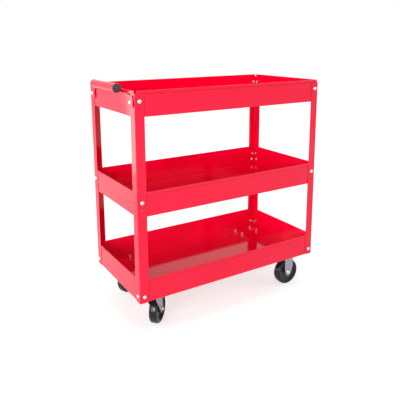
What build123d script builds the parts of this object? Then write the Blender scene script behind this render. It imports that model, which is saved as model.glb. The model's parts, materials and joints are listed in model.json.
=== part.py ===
from build123d import *
import os
from math import sqrt

os.makedirs("parts", exist_ok=True)

# Three-tray tool cart on four casters. Millimetres, +Z up.
# X runs along the cart with the handle at -X, Y runs across it, and Z = 0 is the ground.

# ---------------------------------------------------------------------------------------
# Driving sizes
# ---------------------------------------------------------------------------------------
# frame
cart_length = 700.0          # over the outer faces of the posts
cart_width = 350.0           # over the outer faces of the posts
rim_height = 764.0           # ground to the top tray's rim
caster_height = 120.0        # ground to the underside of the bottom tray
middle_rise = 272.0          # underside of the bottom tray to underside of the middle tray

# angle posts
post_flange = 30.0
post_sheet = 1.2
post_bend = 2.4              # outer bend radius
post_foot = 8.0              # rounding of the flanges' free corners

# trays
tray_depth = 75.0
tray_sheet = 1.0
tray_bend = 2.5              # outer radius between floor and wall
tray_corner = 3.5            # outer radius of the upright corners
seam_gap = 0.8               # open corner seam
hem_height = 8.0
corner_notch = 4.0           # each corner's cut in the hem, along each wall
hem_round = 0.4
fit_gap = 0.5                # between a hem and a post

# M6 fasteners of the frame
bolt_radius = 3.0
bolt_hole = 3.3
head_radius = 6.5
head_height = 3.5
head_dome = 3.2              # rounding of the head's top edge
thread_lead = 0.5            # chamfer at the end of a thread
recess_arm = 2.2             # half length of the cross recess
recess_width = 1.1
recess_depth = 1.4
nut_flats = 10.0
nut_height = 5.0
thread_gap = 0.04
bolt_tip = 2.0               # thread beyond the nut
hole_edge = 15.0             # post corner to hole
upper_row_drop = 30.0        # rim of a tray to its upper holes
lower_row_rise = 20.0        # underside of a tray to its lower holes

# handle
handle_length = 184.0        # over the end caps
handle_radius = 13.0
handle_wall = 1.5
handle_rise = 3.0            # handle's axis above the rim
cap_lip = 0.5                # cap radius beyond the tube
cap_thickness = 3.5
cap_plug = 14.0
cap_round = 1.5
plug_gap = 0.05              # cap to tube
bracket_sheet = 2.5
bracket_standoff = 1.0       # tube to the bracket's flat
bracket_start = 8.0          # post corner to the bracket's upright edge
bracket_foot = 48.0          # rim to the bracket's lower edge
bracket_shoulder = 13.0      # rim to the bracket's upper outer corner
bracket_slope = 14.0         # corner of the plate to where its upper edge turns up
bracket_neck = 5.0           # rim to the bracket's upper edge beside the cradle
bracket_width = 37.0         # width of the bolted plate
bracket_arm = 16.0           # rim to the lower edge of the arm that reaches the cradle
bracket_round = 7.0
bracket_bolt = 24.0          # post corner to the bracket's bolt
bracket_drop = 33.0          # rim to the bracket's bolt
cradle_inset = 9.0           # end of the handle to the cradle
cradle_length = 20.0
cradle_below = 100.0         # degrees of the cradle under the tube
cradle_above = 10.0          # degrees of the cradle over the tube's inner side

# casters
swivel_inset = 72.0          # post face at the handle's end to the swivel casters' centres
rigid_inset = 77.0           # post face at the far end to the rigid casters' centres
side_inset = 52.0            # post face at the side to a caster's centre
plate_length = 95.0
plate_width = 65.0
plate_sheet = 2.5
plate_round = 7.0
plate_hole_x = 75.0
plate_hole_y = 45.0
plate_bolt_tip = 7.0
swivel_stack = 9.5           # fork's crown to the plate
tread_width = 27.0
tread_round = 6.0
tyre_depth = 11.0
rim_width = 21.0
rim_depth = 4.0
web_width = 16.0
hub_radius = 13.0
sleeve_radius = 5.5
sleeve_gap = 0.05            # hub to sleeve
axle_radius = 4.0
axle_gap = 0.04
axle_head_radius = 6.5
axle_head_height = 3.5
axle_head_edge = 0.7
axle_nut_flats = 13.0
axle_nut_height = 6.5
axle_tip = 2.5
leg_sheet = 2.0
leg_gap = 14.5               # fork's centre plane to a leg's inner face
hub_side_gap = 0.5
rigid_leg_tip = 13.5         # radius of a leg's end about the axle
swivel_leg_tip = 11.0
leg_boss = 8.5
leg_boss_height = 0.5
crown_round = 3.5
rigid_leg_front = 16.5       # axle to a rigid fork's leg's edge, towards -X
rigid_leg_back = 20.5
rigid_leg_taper = 20.0       # axle to where a rigid fork's leg starts to narrow
trail = 26.0                 # swivel axis to axle
swivel_leg_front = 20.0
swivel_leg_back = 26.0
swivel_leg_drop = 12.0
crown_gap = 10.0             # wheel to the crown's underside
race_radius = 20.0           # circle of the balls
ball_radius = 3.0
ball_count = 16
race_width = 6.5             # race ring each side of the ball circle
race_gap = 0.3               # swivel race to balls and skirt
ball_gap = 0.05              # plate's race to balls
race_split = 0.8             # between the two races
skirt = 1.5
kingpin_radius = 5.0
kingpin_head = 8.0
kingpin_head_height = 1.7
kingpin_head_edge = 0.8
kingpin_flare = 6.8          # radius of the kingpin's countersunk end
kingpin_gap = 0.05
front_swivel_angle = 43.0    # way the front left wheel trails, from +X towards +Y
back_swivel_angle = 25.0

# ---------------------------------------------------------------------------------------
# Derived sizes
# ---------------------------------------------------------------------------------------
half_length = cart_length / 2
half_width = cart_width / 2
cap_radius = handle_radius + cap_lip
handle_offset = bracket_sheet + bracket_standoff + handle_radius
handle_reach = handle_offset + cap_radius
cart_x = (handle_reach - head_height) / 2       # keeps the whole cart centred on X = 0
left_face = cart_x - half_length
handle_x = left_face - handle_offset
handle_z = rim_height + handle_rise
tube_length = handle_length - 2 * cap_thickness

tray_length = cart_length - 2 * post_sheet
tray_width = cart_width - 2 * post_sheet
bottom_tray_z = caster_height
middle_tray_z = caster_height + middle_rise
top_tray_z = rim_height - tray_depth
post_top = rim_height - hem_height - fit_gap
top_row = rim_height - upper_row_drop
middle_row = middle_tray_z + tray_depth - upper_row_drop
spare_row = middle_tray_z + lower_row_rise
bottom_row = bottom_tray_z + lower_row_rise
frame_grip = post_sheet + tray_sheet
bracket_grip = bracket_sheet + frame_grip
caster_grip = plate_sheet + tray_sheet
plate_bottom = caster_height - plate_sheet

crown_top = plate_bottom - swivel_stack
crown_bottom = crown_top - leg_sheet
wheel_radius = (crown_bottom - crown_gap) / 2
rim_outer = wheel_radius - tyre_depth
rim_inner = rim_outer - rim_depth
leg_face = leg_gap + leg_sheet
axle_seat = leg_face + leg_boss_height
rigid_leg_drop = caster_height - wheel_radius - rigid_leg_taper
race_inner = race_radius - race_width
race_outer = race_radius + race_width
ball_z = (crown_top + plate_bottom) / 2
kingpin_bottom = crown_bottom - race_gap

CORNERS = {
    "front_left": (-1, -1),
    "front_right": (1, -1),
    "back_left": (-1, 1),
    "back_right": (1, 1),
}
SWIVEL_ANGLES = {"front_left": front_swivel_angle, "back_left": back_swivel_angle}


# ---------------------------------------------------------------------------------------
# Places of the fasteners
# ---------------------------------------------------------------------------------------
def side_seat(corner, height):
    """Seat on a post's front or back face, looking outwards."""
    side_x, side_y = CORNERS[corner]
    origin = (cart_x + side_x * (half_length - hole_edge), side_y * half_width, height)
    return Plane(origin=origin, x_dir=(1, 0, 0), z_dir=(0, side_y, 0)).location


def end_seat(corner, height, edge=hole_edge, outward=0.0):
    """Seat on a post's end face, or further out, looking outwards."""
    side_x, side_y = CORNERS[corner]
    origin = (cart_x + side_x * (half_length + outward), side_y * (half_width - edge), height)
    return Plane(origin=origin, x_dir=(0, 1, 0), z_dir=(side_x, 0, 0)).location


def both_seats(corner, height):
    """Both seats of one post at one height."""
    return [side_seat(corner, height), end_seat(corner, height)]


def save(piece, label):
    """Label one finished piece and write it as a node."""
    piece.label = label
    export_step(piece, f"parts/{label}.step")


def top_post_seats(corner):
    """Top seats of one post; on the left end the handle's brackets take the end bolts' place."""
    if corner in SWIVEL_ANGLES:
        return [side_seat(corner, top_row)]
    return both_seats(corner, top_row)


bracket_row = rim_height - bracket_drop
bracket_holes = {corner: end_seat(corner, bracket_row, bracket_bolt) for corner in SWIVEL_ANGLES}
bracket_seats = [end_seat(corner, bracket_row, bracket_bolt, bracket_sheet) for corner in SWIVEL_ANGLES]
top_seats = [seat for corner in CORNERS for seat in top_post_seats(corner)]
middle_holes = [seat for corner in CORNERS for seat in both_seats(corner, middle_row)]
spare_holes = [seat for corner in CORNERS for seat in both_seats(corner, spare_row)]
# the front left post's end face carries no bolt at the middle tray
middle_seats = [side_seat(corner, middle_row) for corner in CORNERS]
middle_seats += [end_seat(corner, middle_row) for corner in ("front_right", "back_right", "back_left")]
bottom_seats = [seat for corner in CORNERS for seat in both_seats(corner, bottom_row)]

end_insets = {-1: swivel_inset, 1: rigid_inset}
caster_places = {
    corner: Location(
        (
            cart_x + side_x * (half_length - end_insets[side_x]),
            side_y * (half_width - side_inset),
            0,
        )
    )
    for corner, (side_x, side_y) in CORNERS.items()
}
plate_pattern = GridLocations(plate_hole_x, plate_hole_y, 2, 2).local_locations
plate_seats = [
    place * hole * Location((0, 0, plate_bottom), (180, 0, 0))
    for place in caster_places.values()
    for hole in plate_pattern
]

# ---------------------------------------------------------------------------------------
# Posts
# ---------------------------------------------------------------------------------------
for corner, (side_x, side_y) in CORNERS.items():
    corner_x = cart_x + side_x * half_length
    corner_y = side_y * half_width
    inner_x = corner_x - side_x * post_sheet
    inner_y = corner_y - side_y * post_sheet
    with BuildPart() as post:
        with BuildSketch(Plane.XY.offset(caster_height)) as section:
            with Locations((corner_x - side_x * post_flange / 2, corner_y - side_y * post_sheet / 2)):
                Rectangle(post_flange, post_sheet)
            with Locations((corner_x - side_x * post_sheet / 2, corner_y - side_y * post_flange / 2)):
                Rectangle(post_sheet, post_flange)
            bend = section.vertices().sort_by_distance((corner_x, corner_y, caster_height))[0]
            fillet(bend, post_bend)
            bend = section.vertices().sort_by_distance((inner_x, inner_y, caster_height))[0]
            fillet(bend, post_bend - post_sheet)
        extrude(amount=post_top - caster_height)
        ends = post.edges().group_by(Axis.Z)[0] + post.edges().group_by(Axis.Z)[-1]
        short_ends = [edge for edge in ends if abs(edge.length - post_sheet) < post_sheet / 10]
        fillet(short_ends, post_foot)
        rows = [bottom_row, spare_row, middle_row]
        seats = [seat for row in rows for seat in both_seats(corner, row)] + top_post_seats(corner)
        if corner in bracket_holes:
            seats.append(bracket_holes[corner])
        with Locations(*seats):
            Hole(bolt_hole, post_sheet)
    save(post.part, f"post_{corner}")


# ---------------------------------------------------------------------------------------
# Trays
# ---------------------------------------------------------------------------------------
def make_tray(underside, hem_stop, holes):
    """Tray folded from one sheet, with an outward hem that stops short of each corner."""
    rim = underside + tray_depth
    with BuildPart() as tray:
        with BuildSketch(Plane.XY.offset(underside)):
            with Locations((cart_x, 0)):
                RectangleRounded(tray_length, tray_width, tray_corner)
        extrude(amount=tray_depth)
        fillet(tray.faces().sort_by(Axis.Z)[0].edges(), tray_bend)
        offset(amount=-tray_sheet, openings=tray.faces().sort_by(Axis.Z)[-1])
        with BuildSketch(Plane.XY.offset(rim)):
            with Locations((cart_x, 0)):
                Rectangle(tray_length + 2 * tray_sheet, tray_width - 2 * hem_stop)
                Rectangle(tray_length - 2 * hem_stop, tray_width + 2 * tray_sheet)
                Rectangle(tray_length - tray_sheet, tray_width - tray_sheet, mode=Mode.SUBTRACT)
        extrude(amount=-hem_height)
        rim_edges = tray.edges().group_by(Axis.Z)[-1].filter_by(GeomType.LINE)
        fillet([edge for edge in rim_edges if edge.length > post_flange * 2], hem_round)
        for side_x, side_y in CORNERS.values():
            corner_x = cart_x + side_x * tray_length / 2
            corner_y = side_y * tray_width / 2
            with Locations((corner_x, corner_y, rim)):
                Box(2 * corner_notch, 2 * corner_notch, 2 * hem_height, mode=Mode.SUBTRACT)
            seam = Location((corner_x, corner_y, underside + tray_bend), (0, 0, 45 * side_x * side_y))
            with Locations(seam):
                Box(
                    4 * tray_corner,
                    seam_gap,
                    tray_depth,
                    align=(Align.CENTER, Align.CENTER, Align.MIN),
                    mode=Mode.SUBTRACT,
                )
        with Locations(*holes):
            Hole(bolt_hole, bracket_grip + tray_sheet)
    return tray.part


post_stop = post_flange - post_sheet + fit_gap
save(make_tray(top_tray_z, corner_notch, top_seats + bracket_seats), "top_tray")
save(make_tray(middle_tray_z, post_stop, middle_holes + spare_holes), "middle_tray")
save(make_tray(bottom_tray_z, post_stop, bottom_seats + plate_seats), "bottom_tray")


# ---------------------------------------------------------------------------------------
# Bolts and nuts of the frame
# ---------------------------------------------------------------------------------------
def make_bolt(grip, tip):
    """Round-headed bolt with a cross recess, its head's seat at Z = 0 and its shank towards -Z."""
    with BuildPart() as bolt:
        Cylinder(head_radius, head_height, align=(Align.CENTER, Align.CENTER, Align.MIN))
        fillet(bolt.edges().sort_by(Axis.Z)[-1], head_dome)
        with BuildSketch(Plane.XY.offset(head_height)):
            Rectangle(2 * recess_arm, recess_width)
            Rectangle(recess_width, 2 * recess_arm)
        extrude(amount=-recess_depth, mode=Mode.SUBTRACT)
        with BuildSketch():
            Circle(bolt_radius)
        extrude(amount=-(grip + nut_height + tip))
        chamfer(bolt.edges().sort_by(Axis.Z)[0], thread_lead)
    return bolt.part


def make_nut(flats, height, bore, seat):
    """Hexagon nut below its seat at Z = -seat, with its far corners turned down."""
    with BuildPart() as nut:
        with BuildSketch(Plane.XY.offset(-seat)):
            RegularPolygon(flats / sqrt(3), 6)
        extrude(amount=-height)
        with BuildSketch(Plane.XY.offset(-seat)):
            Circle(flats / sqrt(3))
        extrude(amount=-height, mode=Mode.INTERSECT)
        with BuildSketch(Plane.XY.offset(-seat)):
            Circle(bore)
        extrude(amount=-height, mode=Mode.SUBTRACT)
    return nut.part


def make_group(piece, seats, label):
    """Copies of one fastener at its seats, as one node."""
    with BuildPart() as group:
        with Locations(*seats):
            add(piece)
    save(group.part, label)


frame_bolt = make_bolt(frame_grip, bolt_tip)
frame_nut = make_nut(nut_flats, nut_height, bolt_radius + thread_gap, frame_grip)
for tray, seats in (("top", top_seats), ("middle", middle_seats), ("bottom", bottom_seats)):
    make_group(frame_bolt, seats, f"{tray}_tray_bolts")
    make_group(frame_nut, seats, f"{tray}_tray_nuts")

bracket_bolt_piece = make_bolt(bracket_grip, bolt_tip)
bracket_nut_piece = make_nut(nut_flats, nut_height, bolt_radius + thread_gap, bracket_grip)
make_group(bracket_bolt_piece, bracket_seats, "handle_bracket_bolts")
make_group(bracket_nut_piece, bracket_seats, "handle_bracket_nuts")

# ---------------------------------------------------------------------------------------
# Handle
# ---------------------------------------------------------------------------------------
handle_axis = Plane(origin=(handle_x, 0, handle_z), x_dir=(1, 0, 0), z_dir=(0, -1, 0))

with BuildPart() as handle_tube:
    with BuildSketch(handle_axis):
        Circle(handle_radius)
        Circle(handle_radius - handle_wall, mode=Mode.SUBTRACT)
    extrude(amount=tube_length / 2, both=True)
save(handle_tube.part, "handle_tube")

with BuildPart() as handle_cap:
    with BuildSketch(handle_axis.offset(tube_length / 2)):
        Circle(cap_radius)
    extrude(amount=cap_thickness)
    fillet(handle_cap.edges().sort_by(Axis.Y)[0], cap_round)
    with BuildSketch(handle_axis.offset(tube_length / 2)):
        Circle(handle_radius - handle_wall - plug_gap)
    extrude(amount=-cap_plug)
save(handle_cap.part, "handle_cap_front")
save(mirror(handle_cap.part, about=Plane.XZ), "handle_cap_back")

bracket_end = bracket_start + bracket_width
bracket_outline = [
    (bracket_end, bracket_foot),
    (bracket_start, bracket_foot),
    (bracket_start, bracket_shoulder),
    (bracket_start + bracket_slope, bracket_shoulder),
]
cradle_start = (cart_width - handle_length) / 2 + cradle_inset
cradle_end = cradle_start + cradle_length
bracket_outline += [
    (cradle_start, bracket_neck),
    (cradle_start, -handle_rise),
    (cradle_end, -handle_rise),
    (cradle_end, bracket_arm),
    (bracket_end, bracket_arm),
]

# front bracket; the back one is its mirror image
bracket_face = Plane(origin=(left_face, -half_width, rim_height), x_dir=(0, 1, 0), z_dir=(1, 0, 0))
with BuildPart() as handle_bracket:
    with BuildSketch(bracket_face):
        Polygon(*[(along, -drop) for along, drop in bracket_outline], align=None)
    extrude(amount=-bracket_sheet)
    upright_corners = handle_bracket.edges().filter_by(Axis.X).group_by(Axis.Y)[0]
    fillet(upright_corners, bracket_round)
    cradle_plane = handle_axis.offset(half_width - cradle_end)
    with BuildSketch(cradle_plane):
        with BuildLine():
            outer = CenterArc((0, 0), handle_radius + bracket_sheet, -cradle_below, cradle_below + cradle_above)
            inner = CenterArc((0, 0), handle_radius, -cradle_below, cradle_below + cradle_above)
            Line(outer @ 0, inner @ 0)
            Line(outer @ 1, inner @ 1)
        make_face()
    extrude(amount=cradle_length)
    with Locations(bracket_seats[0]):
        Hole(bolt_hole, bracket_sheet)
save(handle_bracket.part, "handle_bracket_front")
save(mirror(handle_bracket.part, about=Plane.XZ), "handle_bracket_back")

# ---------------------------------------------------------------------------------------
# Casters, each piece made about its caster's centre, with the wheel trailing towards +X
# ---------------------------------------------------------------------------------------
def axle_plane(wheel_x, along):
    """Plane across the axle, a distance along it from the wheel's middle towards -Y."""
    return Plane(origin=(wheel_x, -along, wheel_radius), x_dir=(1, 0, 0), z_dir=(0, -1, 0))


def make_fork(wheel_x, front, back, tip, top, drop, crown_sheet):
    """Pair of legs joined by a flat crown, each narrowing to a round end about the axle.

    The crown spans from -front to back in X, and the legs keep that width for a drop below the top.
    """
    with BuildPart() as fork:
        with BuildSketch(Plane.XZ):
            with Locations((wheel_x, wheel_radius)):
                Circle(tip)
            with Locations(((back - front) / 2, top - drop / 2)):
                Rectangle(front + back, drop)
            make_hull()
        extrude(amount=leg_face, both=True)
        with Locations((0, 0, top - crown_sheet)):
            Box(
                4 * wheel_radius,
                2 * leg_gap,
                2 * wheel_radius,
                align=(Align.CENTER, Align.CENTER, Align.MAX),
                mode=Mode.SUBTRACT,
            )
        for side in (-1, 1):
            with BuildSketch(axle_plane(wheel_x, side * leg_face)):
                Circle(leg_boss)
            extrude(amount=side * leg_boss_height)
        with BuildSketch(axle_plane(wheel_x, 0)):
            Circle(axle_radius + axle_gap)
        extrude(amount=axle_seat, both=True, mode=Mode.SUBTRACT)
    return fork.part


def make_wheel_pieces(wheel_x):
    """Axle bolt, axle nut, sleeve, hub and tyre of one wheel, as labelled pieces."""
    with BuildPart() as axle_bolt:
        with BuildSketch(axle_plane(wheel_x, axle_seat)):
            RegularPolygon(axle_head_radius, 6)
        extrude(amount=axle_head_height)
        chamfer(axle_bolt.edges().group_by(Axis.Y)[0], axle_head_edge)
        with BuildSketch(axle_plane(wheel_x, axle_seat)):
            Circle(axle_radius)
        extrude(amount=-(2 * axle_seat + axle_nut_height + axle_tip))
        chamfer(axle_bolt.edges().group_by(Axis.Y)[-1], thread_lead)
    with BuildPart() as axle_nut:
        with BuildSketch(axle_plane(wheel_x, -axle_seat)):
            RegularPolygon(axle_nut_flats / sqrt(3), 6)
            Circle(axle_radius + thread_gap, mode=Mode.SUBTRACT)
        extrude(amount=-axle_nut_height)
    with BuildPart() as sleeve:
        with BuildSketch(axle_plane(wheel_x, 0)):
            Circle(sleeve_radius)
            Circle(axle_radius + axle_gap, mode=Mode.SUBTRACT)
        extrude(amount=leg_gap, both=True)
    with BuildPart() as hub:
        with BuildSketch(axle_plane(wheel_x, 0)):
            Circle(rim_outer)
            Circle(rim_inner, mode=Mode.SUBTRACT)
        extrude(amount=rim_width / 2, both=True)
        with BuildSketch(axle_plane(wheel_x, 0)):
            Circle(rim_inner + rim_depth / 2)
        extrude(amount=web_width / 2, both=True)
        with BuildSketch(axle_plane(wheel_x, 0)):
            Circle(hub_radius)
        extrude(amount=leg_gap - hub_side_gap, both=True)
        with BuildSketch(axle_plane(wheel_x, 0)):
            Circle(sleeve_radius + sleeve_gap)
        extrude(amount=leg_gap, both=True, mode=Mode.SUBTRACT)
    with BuildPart() as tyre:
        with BuildSketch(axle_plane(wheel_x, 0)):
            Circle(wheel_radius)
        extrude(amount=tread_width / 2, both=True)
        fillet(tyre.edges(), tread_round)
        with BuildSketch(axle_plane(wheel_x, 0)):
            Circle(rim_outer)
        extrude(amount=tread_width, both=True, mode=Mode.SUBTRACT)
    return {
        "axle_bolt": axle_bolt.part,
        "axle_nut": axle_nut.part,
        "wheel_sleeve": sleeve.part,
        "wheel_hub": hub.part,
        "tyre": tyre.part,
    }


def make_race_ring(low, high, groove):
    """Race ring about the swivel axis between two heights, with a groove for the balls."""
    with BuildPart() as race:
        with BuildSketch(Plane.XY.offset(low)):
            Circle(race_outer)
            Circle(race_inner, mode=Mode.SUBTRACT)
        extrude(amount=high - low)
        with Locations((0, 0, ball_z)):
            Torus(race_radius, groove, mode=Mode.SUBTRACT)
    return race.part


with BuildPart() as rigid_fork:
    front, back = rigid_leg_front, rigid_leg_back
    add(make_fork(0, front, back, rigid_leg_tip, caster_height, rigid_leg_drop, plate_sheet))
    with BuildSketch(Plane.XY.offset(plate_bottom)):
        RectangleRounded(plate_length, plate_width, plate_round)
        with GridLocations(plate_hole_x, plate_hole_y, 2, 2):
            Circle(bolt_hole, mode=Mode.SUBTRACT)
    extrude(amount=plate_sheet)

with BuildPart() as swivel_plate:
    with BuildSketch(Plane.XY.offset(plate_bottom)):
        RectangleRounded(plate_length, plate_width, plate_round)
        with GridLocations(plate_hole_x, plate_hole_y, 2, 2):
            Circle(bolt_hole, mode=Mode.SUBTRACT)
    extrude(amount=plate_sheet)
    add(make_race_ring(ball_z + race_split / 2, plate_bottom, ball_radius + ball_gap))
    with BuildSketch(Plane.XY.offset(plate_bottom)):
        Circle(race_outer + race_gap + skirt)
        Circle(race_outer + race_gap, mode=Mode.SUBTRACT)
    extrude(amount=-(plate_bottom - ball_z + ball_radius / 2))
    with BuildSketch(Plane.XY.offset(plate_bottom)):
        Circle(race_outer + race_gap + skirt)
        Circle(race_outer - race_width, mode=Mode.SUBTRACT)
    extrude(amount=-race_split)
    with Locations((0, 0, caster_height)):
        CounterSinkHole(kingpin_radius, kingpin_flare, plate_sheet)

with BuildPart() as bearing_balls:
    with Locations((0, 0, ball_z)):
        with PolarLocations(race_radius, ball_count):
            Sphere(ball_radius)

with BuildPart() as swivel_fork:
    front, back = swivel_leg_front, swivel_leg_back
    add(make_fork(trail, front, back, swivel_leg_tip, crown_top, swivel_leg_drop, leg_sheet))
    fillet(swivel_fork.faces().sort_by(Axis.Z)[-1].edges().filter_by(Axis.X), crown_round)
    with BuildSketch(Plane.XY.offset(crown_bottom)):
        Circle(race_outer)
    extrude(amount=leg_sheet)
    add(make_race_ring(crown_top, ball_z - race_split / 2, ball_radius + race_gap))
    with BuildSketch(Plane.XY.offset(crown_bottom)):
        Circle(kingpin_radius + kingpin_gap)
    extrude(amount=leg_sheet, mode=Mode.SUBTRACT)

with BuildPart() as kingpin:
    with BuildSketch(Plane.XY.offset(kingpin_bottom)):
        Circle(kingpin_head)
    extrude(amount=-kingpin_head_height)
    chamfer(kingpin.edges().sort_by(Axis.Z)[0], kingpin_head_edge)
    with BuildSketch(Plane.XY.offset(kingpin_bottom)):
        Circle(kingpin_radius)
    extrude(amount=caster_height - kingpin_bottom)

fixed_pieces = {"caster_plate": swivel_plate.part, "bearing_balls": bearing_balls.part, "kingpin": kingpin.part}
rigid_wheel = make_wheel_pieces(0)
swivel_wheel = make_wheel_pieces(trail)
for corner, place in caster_places.items():
    if corner in SWIVEL_ANGLES:
        turned = place * Location((0, 0, 0), (0, 0, SWIVEL_ANGLES[corner]))
        for label, piece in fixed_pieces.items():
            save(piece.moved(place), f"{label}_{corner}")
        save(swivel_fork.part.moved(turned), f"swivel_fork_{corner}")
        for label, piece in swivel_wheel.items():
            save(piece.moved(turned), f"{label}_{corner}")
    else:
        # the axle's head looks out of the cart's side
        turned = place * Location((0, 0, 0), (0, 0, 90 + 90 * CORNERS[corner][1]))
        save(rigid_fork.part.moved(turned), f"rigid_fork_{corner}")
        for label, piece in rigid_wheel.items():
            save(piece.moved(turned), f"{label}_{corner}")

plate_bolt = make_bolt(caster_grip, plate_bolt_tip)
plate_nut = make_nut(nut_flats, nut_height, bolt_radius + thread_gap, caster_grip)
make_group(plate_bolt, plate_seats, "caster_plate_bolts")
make_group(plate_nut, plate_seats, "caster_plate_nuts")
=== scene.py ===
"""Rolling tool cart: three open sheet-steel trays on four angle posts, with an end handle and casters.

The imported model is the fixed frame. This script dresses its nodes, makes the moulded tyres, the turned
hubs and the caster bolts' threads, and sets the stage, the lamps and the camera.
"""

import json
import logging
import math
from dataclasses import dataclass, field
from enum import Enum

import bmesh
import bpy
from mathutils import Matrix, Vector

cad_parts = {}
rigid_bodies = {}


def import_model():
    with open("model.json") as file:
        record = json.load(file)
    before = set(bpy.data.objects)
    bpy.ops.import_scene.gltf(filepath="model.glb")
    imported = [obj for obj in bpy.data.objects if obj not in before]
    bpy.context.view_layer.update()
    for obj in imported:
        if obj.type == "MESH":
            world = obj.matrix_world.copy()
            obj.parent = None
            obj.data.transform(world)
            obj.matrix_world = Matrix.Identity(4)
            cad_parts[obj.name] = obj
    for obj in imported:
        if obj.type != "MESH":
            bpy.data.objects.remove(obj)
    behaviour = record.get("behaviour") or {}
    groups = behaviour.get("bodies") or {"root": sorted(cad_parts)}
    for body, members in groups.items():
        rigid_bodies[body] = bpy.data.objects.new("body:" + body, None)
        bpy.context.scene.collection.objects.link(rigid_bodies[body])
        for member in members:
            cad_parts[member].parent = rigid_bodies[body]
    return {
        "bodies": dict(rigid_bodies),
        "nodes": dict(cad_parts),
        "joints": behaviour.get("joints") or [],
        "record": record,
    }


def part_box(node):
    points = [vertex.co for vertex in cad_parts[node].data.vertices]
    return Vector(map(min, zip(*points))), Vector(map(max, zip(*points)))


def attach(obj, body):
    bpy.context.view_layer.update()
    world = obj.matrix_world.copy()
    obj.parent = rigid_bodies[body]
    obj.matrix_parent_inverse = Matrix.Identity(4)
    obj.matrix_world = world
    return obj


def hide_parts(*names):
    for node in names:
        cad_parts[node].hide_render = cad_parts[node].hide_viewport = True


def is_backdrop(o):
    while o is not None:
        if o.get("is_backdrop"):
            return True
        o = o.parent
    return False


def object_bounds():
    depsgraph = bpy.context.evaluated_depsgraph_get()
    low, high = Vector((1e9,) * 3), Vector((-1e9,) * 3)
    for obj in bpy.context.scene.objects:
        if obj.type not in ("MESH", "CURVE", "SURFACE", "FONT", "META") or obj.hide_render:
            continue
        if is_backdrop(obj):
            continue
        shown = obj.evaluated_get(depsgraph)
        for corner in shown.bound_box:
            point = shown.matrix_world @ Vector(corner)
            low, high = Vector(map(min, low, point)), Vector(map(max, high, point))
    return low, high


log = logging.getLogger("tool_cart")

Triple = tuple[float, float, float]
Colour = tuple[float, float, float]
Pair = tuple[float, float]
Span = tuple[float, float]
Socket = bpy.types.NodeSocket

WHOLE: Span = (0.0, 1.0)
NOISE_MIDDLE: Span = (0.3, 0.7)      # values that most of a cloudy pattern lies between
OUTER_FACE: Span = (0.05, 0.15)      # metres from the cart's middle, along the face's normal
CLOSED_TO_OPEN: Span = (0.70, 0.95)  # openness over which the painted seam shade fades out
OPENNESS_SAMPLES = 8
SHARP_ANGLE = 35.0                   # degrees; shallower edges are shaded smooth
MERGE_DISTANCE = 1e-7                # metres
SAME_PLACE = 1e-6                    # metres
FULL_TURN = 2 * math.pi


class Slot(Enum):
    """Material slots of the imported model."""

    RED_ENAMEL = "red_enamel"
    ZINC_SHEET = "zinc_sheet"
    BRIGHT_FASTENERS = "bright_fasteners"
    TYRE_RUBBER = "tyre_rubber"
    HUB_PLASTIC = "hub_plastic"
    CAP_PLASTIC = "cap_plastic"
    BEARING_STEEL = "bearing_steel"
    SLEEVE_STEEL = "sleeve_steel"


class Operation(Enum):
    """Ways to combine two numbers in a material."""

    MAXIMUM = "MAXIMUM"
    PRODUCT = "MULTIPLY"


# ---------------------------------------------------------------------------------------
# Node helpers
# ---------------------------------------------------------------------------------------
def ramp(tree: bpy.types.NodeTree, value: Socket, source: Span, result: Span) -> Socket:
    """Map one range of values to another.

    Args:
        tree: node tree that the map goes into.
        value: socket with the values.
        source: values at the range's two ends; those beyond them count as the ends.
        result: what the two ends become.

    Returns:
        The socket with the new values.
    """
    node = tree.nodes.new("ShaderNodeMapRange")
    node.inputs["From Min"].default_value, node.inputs["From Max"].default_value = source
    node.inputs["To Min"].default_value, node.inputs["To Max"].default_value = result
    tree.links.new(value, node.inputs["Value"])
    return node.outputs["Result"]


def combine(tree: bpy.types.NodeTree, operation: Operation, first: Socket, second: Socket) -> Socket:
    """Combine two numbers.

    Args:
        tree: node tree that the combination goes into.
        operation: way to combine them.
        first: socket with the first number.
        second: socket with the second number.

    Returns:
        The socket with the result.
    """
    node = tree.nodes.new("ShaderNodeMath")
    node.operation = operation.value
    tree.links.new(first, node.inputs[0])
    tree.links.new(second, node.inputs[1])
    return node.outputs["Value"]


# ---------------------------------------------------------------------------------------
# Finishes
# ---------------------------------------------------------------------------------------
@dataclass(frozen=True)
class Clouds:
    """Cloudy pattern: clouds to a metre, octaves of finer clouds, and stretch on the three axes."""

    per_metre: float
    detail: float
    stretch: Triple = (1, 1, 1)


@dataclass(frozen=True)
class Relief:
    """Fine bumps: their pattern, their depth in metres and the share of it that shows."""

    clouds: Clouds
    depth: float
    strength: float = 0.5


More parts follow.
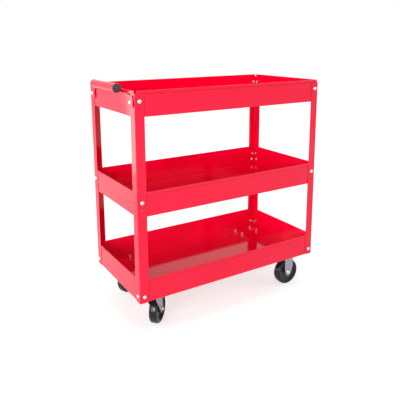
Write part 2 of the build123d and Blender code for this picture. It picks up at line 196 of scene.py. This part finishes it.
class Recipe:
    """A material under construction: a principled shader and the patterns that feed it."""

    def __init__(self, slot: Slot) -> None:
        """Start a material with one principled shader.

        Args:
            slot: slot that the material is for, which gives its name.
        """
        self.material = bpy.data.materials.new(slot.value)
        self.material.use_nodes = True
        self.tree = self.material.node_tree
        self.shader = self.tree.nodes["Principled BSDF"]
        self.place = self.tree.nodes.new("ShaderNodeTexCoord")

    def stretched(self, stretch: Triple) -> Socket:
        """Coordinates stretched along the piece's axes.

        Args:
            stretch: factors for the three axes.

        Returns:
            The socket that carries the stretched coordinates.
        """
        mapping = self.tree.nodes.new("ShaderNodeMapping")
        mapping.inputs["Scale"].default_value = stretch
        self.tree.links.new(self.place.outputs["Object"], mapping.inputs["Vector"])
        return mapping.outputs["Vector"]

    def noise(self, clouds: Clouds) -> Socket:
        """Lay a cloudy pattern.

        Args:
            clouds: the pattern.

        Returns:
            The socket with values about 0.5.
        """
        node = self.tree.nodes.new("ShaderNodeTexNoise")
        node.inputs["Scale"].default_value = clouds.per_metre
        node.inputs["Detail"].default_value = clouds.detail
        self.tree.links.new(self.stretched(clouds.stretch), node.inputs["Vector"])
        return node.outputs["Fac"]

    def cells(self, per_metre: float) -> Socket:
        """Lay a pattern of irregular flat cells.

        Args:
            per_metre: number of cells along a metre.

        Returns:
            The socket with one random grey for each cell.
        """
        node = self.tree.nodes.new("ShaderNodeTexVoronoi")
        node.inputs["Scale"].default_value = per_metre
        self.tree.links.new(self.stretched((1, 1, 1)), node.inputs["Vector"])
        grey = self.tree.nodes.new("ShaderNodeSeparateColor")
        self.tree.links.new(node.outputs["Color"], grey.inputs["Color"])
        return grey.outputs["Red"]

    def spread(self, clouds: Clouds, result: Span) -> Socket:
        """Lay a cloudy pattern that runs from one end of a range, where it is dark, to the other."""
        return ramp(self.tree, self.noise(clouds), NOISE_MIDDLE, result)

    def tint(self, value: Socket, dark: Colour, light: Colour | Socket) -> Socket:
        """Turn a pattern into a change between two colours.

        Args:
            value: pattern from 0 to 1.
            dark: colour where the pattern is 0.
            light: colour where the pattern is 1, or the socket that carries it.

        Returns:
            The socket with the colour.
        """
        node = self.tree.nodes.new("ShaderNodeMix")
        node.data_type = "RGBA"
        node.inputs["A"].default_value = (*dark, 1)
        if isinstance(light, Socket):
            self.tree.links.new(light, node.inputs["B"])
        else:
            node.inputs["B"].default_value = (*light, 1)
        self.tree.links.new(value, node.inputs["Factor"])
        return node.outputs["Result"]

    def inward(self) -> Socket:
        """Tell the faces that look into the cart from those that look out of its sides.

        Returns:
            The socket that is 0 on the outer sides and 1 on inner sides and on level faces.
        """
        flat = self.tree.nodes.new("ShaderNodeVectorMath")
        flat.operation = "MULTIPLY"
        flat.inputs[1].default_value = (1, 1, 0)
        self.tree.links.new(self.place.outputs["Object"], flat.inputs[0])
        away = self.tree.nodes.new("ShaderNodeVectorMath")
        away.operation = "DOT_PRODUCT"
        self.tree.links.new(flat.outputs["Vector"], away.inputs[0])
        self.tree.links.new(self.place.outputs["Normal"], away.inputs[1])
        return ramp(self.tree, away.outputs["Value"], OUTER_FACE, (1.0, 0.0))

    def paint_seam_shade(self, open_colour: Socket, shade_colour: Colour, reach: float) -> Socket:
        """Paint shade into a colour on the outer sides, in seams and against edges that stand proud.

        Args:
            open_colour: colour of the open surface.
            shade_colour: painted shade colour in a closed corner.
            reach: width of the painted shade line, in metres.

        Returns:
            The socket with the colour and its painted shade.
        """
        # Painted shade: an ambient-occlusion test darkens the colour in seams and against proud edges, on
        # the outer sides only.
        hollow = self.tree.nodes.new("ShaderNodeAmbientOcclusion")
        hollow.samples = OPENNESS_SAMPLES
        hollow.inputs["Distance"].default_value = reach
        openness = ramp(self.tree, hollow.outputs["AO"], CLOSED_TO_OPEN, WHOLE)
        unshaded = combine(self.tree, Operation.MAXIMUM, openness, self.inward())
        return self.tint(unshaded, shade_colour, open_colour)

    def raise_grain(self, relief: Relief) -> None:
        """Feed fine bumps to the surface's normal.

        Args:
            relief: the bumps.
        """
        node = self.tree.nodes.new("ShaderNodeBump")
        node.inputs["Distance"].default_value = relief.depth
        node.inputs["Strength"].default_value = relief.strength
        self.tree.links.new(self.noise(relief.clouds), node.inputs["Height"])
        self.feed(node.outputs["Normal"], "Normal")

    def feed(self, value: Socket, socket: str) -> None:
        """Link a value to the named input of the shader."""
        self.tree.links.new(value, self.shader.inputs[socket])

    def fix(self, socket: str, value: float) -> None:
        """Set a number on the named input of the shader."""
        self.shader.inputs[socket].default_value = value


@dataclass(frozen=True)
class Enamel:
    """Glossy baked enamel with faint orange peel and thinner in places, with painted shade in seams and
    against proud edges.
    """

    slot: Slot = Slot.RED_ENAMEL
    thick: Colour = (0.90, 0.0006, 0.040)
    thin: Colour = (0.86, 0.0004, 0.034)
    # painted shade colour and its reach, for seams and proud edges on the outer sides
    painted_seam_shade: Colour = (0.20, 0.0006, 0.012)
    seam_shade_reach: float = 0.005
    ior: float = 1.36
    film: Clouds = Clouds(4.0, 2.0)
    rubbing: Clouds = Clouds(22.0, 3.0)
    roughness: Span = (0.07, 0.11)
    peel: Relief = Relief(Clouds(300.0, 2.0), 0.00001)

    def material(self) -> bpy.types.Material:
        """Make the enamel.

        Returns:
            The material.
        """
        recipe = Recipe(self.slot)
        recipe.fix("IOR", self.ior)
        paint = recipe.tint(recipe.spread(self.film, WHOLE), self.thin, self.thick)
        # painted shade in seams and against proud edges, over the enamel's own tone
        recipe.feed(recipe.paint_seam_shade(paint, self.painted_seam_shade, self.seam_shade_reach), "Base Color")
        recipe.feed(recipe.spread(self.rubbing, self.roughness), "Roughness")
        recipe.raise_grain(self.peel)
        return recipe.material


@dataclass(frozen=True)
class PlatedSheet:
    """Zinc-plated pressed steel with soft spangle and rolling marks."""

    slot: Slot = Slot.ZINC_SHEET
    dull: Colour = (0.24, 0.25, 0.29)
    bright: Colour = (0.35, 0.36, 0.41)
    spangle_per_metre: float = 260.0
    rubbing: Clouds = Clouds(90.0, 4.0, (1, 1, 6))
    roughness: Span = (0.26, 0.44)
    rolling: Relief = Relief(Clouds(700.0, 2.0, (1, 1, 0.2)), 0.00002)

    def material(self) -> bpy.types.Material:
        """Make the plated sheet.

        Returns:
            The material.
        """
        recipe = Recipe(self.slot)
        recipe.fix("Metallic", 1.0)
        recipe.feed(recipe.tint(recipe.cells(self.spangle_per_metre), self.dull, self.bright), "Base Color")
        recipe.feed(recipe.spread(self.rubbing, self.roughness), "Roughness")
        recipe.raise_grain(self.rolling)
        return recipe.material


@dataclass(frozen=True)
class BrightSteel:
    """Bright plated or polished steel of small parts."""

    slot: Slot
    dull: Colour
    bright: Colour
    roughness: Span
    stain: Clouds = Clouds(420.0, 3.0)
    rubbing: Clouds = Clouds(900.0, 2.0)
    grain: Relief = Relief(Clouds(1600.0, 1.0), 0.00001, 0.4)

    def material(self) -> bpy.types.Material:
        """Make the bright steel.

        Returns:
            The material.
        """
        recipe = Recipe(self.slot)
        recipe.fix("Metallic", 1.0)
        recipe.feed(recipe.tint(recipe.spread(self.stain, WHOLE), self.dull, self.bright), "Base Color")
        recipe.feed(recipe.spread(self.rubbing, self.roughness), "Roughness")
        recipe.raise_grain(self.grain)
        return recipe.material


@dataclass(frozen=True)
class Moulded:
    """Moulded rubber or plastic with a fine grain and a dusty bloom."""

    slot: Slot
    body: Colour
    bloom: Colour
    roughness: Span
    grain: Relief
    ior: float = 1.42
    dust: Clouds = Clouds(60.0, 5.0)
    rubbing: Clouds = Clouds(140.0, 3.0)

    def material(self) -> bpy.types.Material:
        """Make the moulded material.

        Returns:
            The material.
        """
        recipe = Recipe(self.slot)
        recipe.fix("IOR", self.ior)
        recipe.feed(recipe.tint(recipe.spread(self.dust, WHOLE), self.body, self.bloom), "Base Color")
        recipe.feed(recipe.spread(self.rubbing, self.roughness), "Roughness")
        recipe.raise_grain(self.grain)
        return recipe.material


FINISHES = (
    Enamel(),
    PlatedSheet(),
    BrightSteel(
        slot=Slot.BRIGHT_FASTENERS,
        dull=(0.58, 0.50, 0.48),
        bright=(0.76, 0.68, 0.65),
        roughness=(0.24, 0.38),
    ),
    BrightSteel(
        slot=Slot.BEARING_STEEL,
        dull=(0.74, 0.74, 0.76),
        bright=(0.86, 0.86, 0.88),
        roughness=(0.06, 0.14),
    ),
    BrightSteel(
        slot=Slot.SLEEVE_STEEL,
        dull=(0.58, 0.58, 0.58),
        bright=(0.72, 0.72, 0.72),
        roughness=(0.24, 0.38),
    ),
    Moulded(
        slot=Slot.TYRE_RUBBER,
        body=(0.005, 0.005, 0.007),
        bloom=(0.011, 0.011, 0.014),
        roughness=(0.12, 0.20),
        grain=Relief(Clouds(900.0, 2.0), 0.00001),
        ior=1.36,
    ),
    Moulded(
        slot=Slot.HUB_PLASTIC,
        body=(0.012, 0.012, 0.014),
        bloom=(0.022, 0.022, 0.025),
        roughness=(0.20, 0.30),
        grain=Relief(Clouds(1400.0, 2.0), 0.00001),
    ),
    Moulded(
        slot=Slot.CAP_PLASTIC,
        body=(0.034, 0.030, 0.046),
        bloom=(0.050, 0.044, 0.064),
        roughness=(0.30, 0.44),
        grain=Relief(Clouds(1400.0, 2.0), 0.00002),
    ),
)


# ---------------------------------------------------------------------------------------
# Pieces
# ---------------------------------------------------------------------------------------
class Workshop:
    """Holds the finishes and turns finished shapes into pieces that ride on the frame's bodies."""

    def __init__(self) -> None:
        """Mix every finish."""
        self.finishes = {finish.slot: finish.material() for finish in FINISHES}

    def finish(self, shape: bmesh.types.BMesh, name: str, body: str, slot: Slot) -> bpy.types.Object:
        """Make one piece from a closed shape that is already in its place.

        Args:
            shape: the shape, in metres; it is freed.
            name: name of the piece.
            body: body that it rides on.
            slot: material slot that it takes its finish from.

        Returns:
            The piece.
        """
        bmesh.ops.remove_doubles(shape, verts=shape.verts, dist=MERGE_DISTANCE)
        bmesh.ops.recalc_face_normals(shape, faces=shape.faces)
        for face in shape.faces:
            face.smooth = True
        mesh = bpy.data.meshes.new(name)
        shape.to_mesh(mesh)
        shape.free()
        mesh.set_sharp_from_angle(angle=math.radians(SHARP_ANGLE))
        mesh.materials.append(self.finishes[slot])
        piece = bpy.data.objects.new(name, mesh)
        bpy.context.scene.collection.objects.link(piece)
        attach(piece, body)
        log.info("made %s: %d faces, riding on %s", name, len(mesh.polygons), body)
        return piece


def turned(half: list[Pair], facets: int) -> bmesh.types.BMesh:
    """Spin a ring about the Y axis from the outline of its half on the +Y side.

    Args:
        half: distance along the axis and radius of each corner.
        facets: facets round the axis.

    Returns:
        The closed ring, the same on both sides.
    """
    shape = bmesh.new()
    outline = half + [(-along, radius) for along, radius in reversed(half)]
    corners = [shape.verts.new((0, along, radius)) for along, radius in outline]
    sides = [shape.edges.new((corners[index - 1], corners[index])) for index in range(len(corners))]
    bmesh.ops.spin(
        shape,
        geom=corners + sides,
        cent=(0, 0, 0),
        axis=(0, 1, 0),
        angle=FULL_TURN,
        steps=facets,
        use_merge=True,
    )
    return shape


def round_rings(
    shape: bmesh.types.BMesh, radius: float, along: float, amount: float, segments: int
) -> None:
    """Bevel the circular edges of a turned shape at one radius, on both sides.

    Args:
        shape: the turned shape.
        radius: radius of the edges.
        along: their distance from the middle plane.
        amount: width of the bevel.
        segments: facets across it.
    """
    rings = [
        edge
        for edge in shape.edges
        if all(
            abs(math.hypot(end.co.x, end.co.z) - radius) < SAME_PLACE
            and abs(abs(end.co.y) - along) < SAME_PLACE
            for end in edge.verts
        )
    ]
    bmesh.ops.bevel(
        shape,
        geom=rings,
        offset=amount,
        offset_type="OFFSET",
        affect="EDGES",
        segments=segments,
        profile=0.5,
        material=-1,
    )


@dataclass
class Wheel:
    """Moulded tyre and turned hub of one caster, in metres."""

    corner: str
    axle: Vector                 # wheel's centre
    axis: Vector                 # way of the axle
    radius: float                # over the tread
    half_tyre: float
    bore: float                  # tyre's seat on the rim
    half_rim: float
    half_hub: float
    hub_bore: float
    facets: int = 96
    ridge: float = 0.00020       # mould's parting line over the tread
    crown: float = 0.0012        # tread's middle over its edge
    crown_steps: int = 5
    shoulder: float = 0.0050
    shoulder_facets: int = 7
    bead: float = 0.0010
    bead_facets: int = 3
    groove_gap: float = 0.0034   # from the bore to the ring groove
    ring_groove: float = 0.0006
    rim_lip: float = 0.0042
    dish: float = 0.0066         # half thickness of the web
    boss: float = 0.0128

    def placed(self, shape: bmesh.types.BMesh) -> bmesh.types.BMesh:
        """Turn and move a shape to the wheel's axle.

        Args:
            shape: the shape, made about the Y axis at the origin.

        Returns:
            The same shape.
        """
        turn = Matrix.Rotation(math.atan2(-self.axis.x, self.axis.y), 3, "Z")
        bmesh.ops.rotate(shape, cent=(0, 0, 0), matrix=turn, verts=shape.verts)
        bmesh.ops.translate(shape, vec=self.axle, verts=shape.verts)
        return shape

    def tyre_shape(self) -> bmesh.types.BMesh:
        """Tyre with a crowned tread, round shoulders, a ring groove in each side and a parting line.

        Returns:
            The closed shape, in its place.
        """
        side = self.half_tyre
        tread = self.radius - self.ridge
        groove = self.bore + self.groove_gap
        half = [
            (side, self.bore),
            (side, groove),
            (side - self.ring_groove, groove + self.ring_groove),
            (side - self.ring_groove, groove + 2 * self.ring_groove),
            (side, groove + 3 * self.ring_groove),
        ]
        half.append((side, tread - self.crown))
        widest = side - self.shoulder - self.bead    # keeps the crown's rings clear of the rounded shoulder
        for step in range(self.crown_steps):
            along = widest * (1 - step / self.crown_steps)
            half.append((along, tread - self.crown * (along / side) ** 2))
        half += [(2 * self.ridge, tread), (self.ridge, self.radius)]
        shape = turned(half, self.facets)
        round_rings(shape, tread - self.crown, side, self.shoulder, self.shoulder_facets)
        round_rings(shape, self.bore, side, self.bead, self.bead_facets)
        return self.placed(shape)

    def hub_shape(self) -> bmesh.types.BMesh:
        """Hub with a lipped rim, a dished web and a long boss.

        Returns:
            The closed shape, in its place.
        """
        lip = self.bore - self.rim_lip
        half = [
            (self.half_hub, self.hub_bore),
            (self.half_hub, self.boss),
            (self.dish, self.boss + self.bead),
            (self.dish - 2 * self.bead, (self.boss + lip) / 2),
            (self.dish, lip - self.bead),
            (self.half_rim, lip),
            (self.half_rim, self.bore),
        ]
        shape = turned(half, self.facets)
        round_rings(shape, self.boss, self.half_hub, self.bead, self.bead_facets)
        round_rings(shape, lip, self.half_rim, self.bead, self.bead_facets)
        return self.placed(shape)

    def build(self, workshop: Workshop) -> None:
        """Make the tyre and the hub in place of their nodes.

        Args:
            workshop: maker of the pieces.
        """
        body = f"wheel_{self.corner}"
        tyre = workshop.finish(self.tyre_shape(), f"moulded_tyre_{self.corner}", body, Slot.TYRE_RUBBER)
        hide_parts(f"tyre_{self.corner}")
        hub = workshop.finish(self.hub_shape(), f"turned_hub_{self.corner}", body, Slot.HUB_PLASTIC)
        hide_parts(f"wheel_hub_{self.corner}")


@dataclass
class Wheels:
    """The four wheels, sized from the front right one, whose axle lies along Y; sizes in metres."""

    model: str = "front_right"
    spin_joint: str = "wheel_spin_"
    rim_step: float = 0.003      # from the tyre's side to the rim's
    sleeve_play: float = 0.00005

    def build(self, frame: dict, workshop: Workshop) -> None:
        """Make every wheel at its joint.

        Args:
            workshop: maker of the pieces.
        """
        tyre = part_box(f"tyre_{self.model}")
        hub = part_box(f"wheel_hub_{self.model}")
        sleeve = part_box(f"wheel_sleeve_{self.model}")
        for joint in frame["joints"]:
            if not joint["name"].startswith(self.spin_joint):
                continue
            Wheel(
                corner=joint["name"].removeprefix(self.spin_joint),
                axle=Vector(joint["pos_m"]),
                axis=Vector(joint["axis"]),
                radius=joint["pos_m"][2],
                half_tyre=(tyre[1].y - tyre[0].y) / 2,
                bore=(hub[1].x - hub[0].x) / 2,
                half_rim=(tyre[1].y - tyre[0].y) / 2 - self.rim_step,
                half_hub=(hub[1].y - hub[0].y) / 2,
                hub_bore=(sleeve[1].x - sleeve[0].x) / 2 + self.sleeve_play,
            ).build(workshop)


@dataclass
class CasterThreads:
    """Rolled threads on the caster bolts' free ends, which stand up in the bottom tray; in metres."""

    radius: float = 0.003        # of the bolts
    pitch: float = 0.001
    proud: float = 0.00022       # crest over the bolt's side, and root under it
    start: float = 0.25          # pitches from the nut to the first root
    flank: float = 0.40          # pitches from a root to the crest
    facets: int = 24

    def wind(self, shape: bmesh.types.BMesh, foot: Vector, reach: float) -> None:
        """Wind one ridge up a bolt.

        Args:
            shape: shape that the ridge goes into.
            foot: where the ridge starts on the bolt's axis.
            reach: length of the bolt over its nut, less one pitch.
        """
        root = Vector((self.radius - self.proud, 0, 0))
        crest = Vector((self.radius + self.proud, 0, self.flank * self.pitch))
        top = Vector((self.radius - self.proud, 0, 2 * self.flank * self.pitch))
        face = shape.faces.new([shape.verts.new(foot + corner) for corner in (root, crest, top)])
        steps = int(self.facets * (reach / self.pitch - 1))
        bmesh.ops.spin(
            shape,
            geom=[face, *face.edges, *face.verts],
            cent=foot,
            axis=(0, 0, 1),
            dvec=(0, 0, self.pitch / self.facets),
            angle=FULL_TURN * steps / self.facets,
            steps=steps,
        )

    def build(self, workshop: Workshop) -> None:
        """Wind a ridge round each bolt, from its nut to its tip.

        Args:
            workshop: maker of the pieces.
        """
        nut_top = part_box("caster_plate_nuts")[1].z
        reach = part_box("caster_plate_bolts")[1].z - nut_top - self.pitch
        shape = bmesh.new()
        for x, y in self.seats():
            self.wind(shape, Vector((x, y, nut_top + self.start * self.pitch)), reach)
        workshop.finish(shape, "caster_bolt_threads", "chassis", Slot.BRIGHT_FASTENERS)

    def seats(self) -> list[Pair]:
        """Places of the bolts, from the loose parts of their node.

        Returns:
            X and Y of each bolt's axis.
        """
        shape = bmesh.new()
        shape.from_mesh(bpy.data.objects["caster_plate_bolts"].data)
        bmesh.ops.remove_doubles(shape, verts=shape.verts, dist=SAME_PLACE)
        waiting = set(shape.verts)
        places = []
        while waiting:
            part = set()
            edge = [next(iter(waiting))]
            while edge:
                vert = edge.pop()
                if vert in part:
                    continue
                part.add(vert)
                edge.extend(link.other_vert(vert) for link in vert.link_edges)
            waiting -= part
            across = [vert.co.x for vert in part]
            deep = [vert.co.y for vert in part]
            places.append(((min(across) + max(across)) / 2, (min(deep) + max(deep)) / 2))
        shape.free()
        return sorted(places)


# ---------------------------------------------------------------------------------------
# Sub-assemblies
# ---------------------------------------------------------------------------------------
@dataclass
class SubAssembly:
    """Unit of the cart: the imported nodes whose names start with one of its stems."""

    stems: tuple[str, ...]

    def dress(self, frame: dict, workshop: Workshop) -> None:
        """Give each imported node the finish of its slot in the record.

        Args:
            workshop: holder of the finishes.
        """
        for part in frame["record"]["subparts"]:
            if not part["node"].startswith(self.stems):
                continue
            mesh = frame["nodes"][part["node"]].data
            mesh.materials.clear()
            mesh.materials.append(workshop.finishes[Slot(part["material_slot"])])
            log.info("dressed %s with %s", part["node"], part["material_slot"])

    def build(self, frame: dict, workshop: Workshop) -> None:
        """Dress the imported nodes."""
        self.dress(frame, workshop)


@dataclass
class SheetFrame(SubAssembly):
    """Four angle posts and three trays, with the bolts that join them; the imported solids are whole."""

    stems: tuple[str, ...] = ("post_", "top_tray", "middle_tray", "bottom_tray")


@dataclass
class EndHandle(SubAssembly):
    """Handle tube with its caps, brackets and bolts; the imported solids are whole."""

    stems: tuple[str, ...] = ("handle_",)


@dataclass
class CasterSet(SubAssembly):
    """Four casters with their forks, bearings, axles, wheels and plate bolts."""

    stems: tuple[str, ...] = (
        "caster_",
        "swivel_fork_",
        "rigid_fork_",
        "kingpin_",
        "bearing_balls_",
        "axle_",
        "wheel_",
        "tyre_",
    )
    wheels: Wheels = field(default_factory=Wheels)
    threads: CasterThreads = field(default_factory=CasterThreads)

    def build(self, frame: dict, workshop: Workshop) -> None:
        """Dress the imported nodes, then make the wheels and the bolts' threads.

        Args:
            workshop: maker of the pieces.
        """
        self.dress(frame, workshop)
        self.wheels.build(frame, workshop)
        self.threads.build(workshop)


# ---------------------------------------------------------------------------------------
# Stage
# ---------------------------------------------------------------------------------------
@dataclass(frozen=True)
class Softbox:
    """Soft rectangular lamp: where it hangs and its width and height in metres, and its watts."""

    name: str
    place: Triple
    size: Pair
    power: float
    colour: Colour = (1, 1, 1)

    def hang(self, target: Vector) -> None:
        """Hang the lamp so that it faces a point.

        Args:
            target: the point.
        """
        lamp = bpy.data.lights.new(self.name, "AREA")
        lamp.shape = "RECTANGLE"
        lamp.size, lamp.size_y = self.size
        lamp.energy = self.power
        lamp.color = self.colour
        holder = bpy.data.objects.new(self.name, lamp)
        bpy.context.scene.collection.objects.link(holder)
        holder.location = self.place
        holder.rotation_euler = (target - Vector(self.place)).to_track_quat("-Z", "Y").to_euler()


@dataclass
class Stage:
    """Pale floor, white surroundings and soft lamps, in metres."""

    floor_size: float = 14.0
    floor_colour: Colour = (0.55, 0.55, 0.55)
    floor_glow: Span = (0.62, 0.92)      # near the cart and beyond the lamps' reach
    glow_reach: Span = (0.9, 2.6)        # from the cart's middle
    ambient: float = 0.34
    lamps: tuple[Softbox, ...] = (
        Softbox("key", (-3.5, -2.8, 1.2), (1.9, 1.9), 146.0),
        Softbox("strip", (-2.6, -1.1, 0.9), (0.7, 1.7), 19.0, (0.94, 0.97, 1.0)),
        Softbox("fill", (-1.5, 1.2, 0.5), (1.2, 1.2), 14.0, (1.0, 0.95, 0.80)),
        Softbox("top", (0.2, 0.1, 2.8), (2.0, 2.0), 38.0),
        Softbox("right", (2.8, -1.9, 1.5), (1.4, 1.4), 28.0),
    )

    def seen_plainly(self, tree: bpy.types.NodeTree) -> Socket:
        """Light path test for what the camera, a reflection or glass shows.

        Args:
            tree: node tree that the test goes into.

        Returns:
            The socket that is 1 for those rays and 0 for the others.
        """
        path = tree.nodes.new("ShaderNodeLightPath")
        total = path.outputs["Is Camera Ray"]
        for name in ("Is Glossy Ray", "Is Transmission Ray"):
            total = combine(tree, Operation.MAXIMUM, total, path.outputs[name])
        return total

    def build_world(self) -> None:
        """White surroundings that light the cart more softly than they look."""
        world = bpy.data.worlds.new("surroundings")
        bpy.context.scene.world = world
        world.use_nodes = True
        tree = world.node_tree
        background = tree.nodes["Background"]
        background.inputs["Color"].default_value = (1, 1, 1, 1)
        strength = ramp(tree, self.seen_plainly(tree), WHOLE, (self.ambient, 1.0))
        tree.links.new(strength, background.inputs["Strength"])

    def glow_strength(self, tree: bpy.types.NodeTree) -> Socket:
        """Glow of the floor, which grows away from the cart and lights nothing.

        Args:
            tree: node tree that the glow goes into.

        Returns:
            The socket with the strength.
        """
        place = tree.nodes.new("ShaderNodeTexCoord")
        distance = tree.nodes.new("ShaderNodeVectorMath")
        distance.operation = "LENGTH"
        tree.links.new(place.outputs["Object"], distance.inputs[0])
        growth = ramp(tree, distance.outputs["Value"], self.glow_reach, self.floor_glow)
        return combine(tree, Operation.PRODUCT, self.seen_plainly(tree), growth)

    def floor_material(self) -> bpy.types.Material:
        """Pale matt surface with the glow added to it.

        Returns:
            The material.
        """
        material = bpy.data.materials.new("pale_floor")
        material.use_nodes = True
        tree = material.node_tree
        tree.nodes.clear()
        matt = tree.nodes.new("ShaderNodeBsdfDiffuse")
        matt.inputs["Color"].default_value = (*self.floor_colour, 1)
        glow = tree.nodes.new("ShaderNodeEmission")
        tree.links.new(self.glow_strength(tree), glow.inputs["Strength"])
        both = tree.nodes.new("ShaderNodeAddShader")
        tree.links.new(matt.outputs["BSDF"], both.inputs[0])
        tree.links.new(glow.outputs["Emission"], both.inputs[1])
        output = tree.nodes.new("ShaderNodeOutputMaterial")
        tree.links.new(both.outputs["Shader"], output.inputs["Surface"])
        return material

    def build_floor(self) -> None:
        """Pale floor that looks white where it is lit and keeps the cart's shadow."""
        shape = bmesh.new()
        bmesh.ops.create_grid(shape, x_segments=1, y_segments=1, size=self.floor_size / 2)
        mesh = bpy.data.meshes.new("floor")
        shape.to_mesh(mesh)
        shape.free()
        mesh.materials.append(self.floor_material())
        floor = bpy.data.objects.new("floor", mesh)
        bpy.context.scene.collection.objects.link(floor)
        floor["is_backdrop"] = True

    def build(self, middle: Vector) -> None:
        """Set the stage round the cart.

        Args:
            middle: centre of the cart's box.
        """
        self.build_world()
        self.build_floor()
        for lamp in self.lamps:
            lamp.hang(middle)
            log.info("hung lamp %s: %g W", lamp.name, lamp.power)


@dataclass
class Viewpoint:
    """Camera: where it stands and how it looks, in metres, degrees and millimetres."""

    place: Triple = (-0.9156, -1.4483, 0.9050)
    heading: float = 31.906      # from +Y towards +X
    downward: float = 11.380
    roll: float = -0.228
    lens: float = 45.192
    sensor: float = 36.0
    shift: float = -0.15         # share of the frame's width

    def build(self) -> None:
        """Make the camera and give it to the scene."""
        camera = bpy.data.cameras.new("camera")
        camera.lens = self.lens
        camera.sensor_width = self.sensor
        camera.shift_y = self.shift
        holder = bpy.data.objects.new("camera", camera)
        bpy.context.scene.collection.objects.link(holder)
        turn = Matrix.Rotation(math.radians(-self.heading), 4, "Z")
        tip = Matrix.Rotation(math.radians(90 - self.downward), 4, "X")
        lean = Matrix.Rotation(math.radians(self.roll), 4, "Z")
        holder.matrix_world = Matrix.Translation(self.place) @ turn @ tip @ lean
        bpy.context.scene.camera = holder


def main() -> None:
    """Build the cart's looks and its surroundings in order."""
    logging.basicConfig(level=logging.INFO, format="%(name)s: %(message)s")
    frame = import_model()
    cad_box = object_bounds()
    workshop = Workshop()
    for assembly in (SheetFrame(), EndHandle(), CasterSet()):
        assembly.build(frame, workshop)
    Stage().build((cad_box[0] + cad_box[1]) / 2)
    Viewpoint().build()
    bpy.context.scene.view_settings.view_transform = "Standard"


if __name__ == "__main__":
    main()
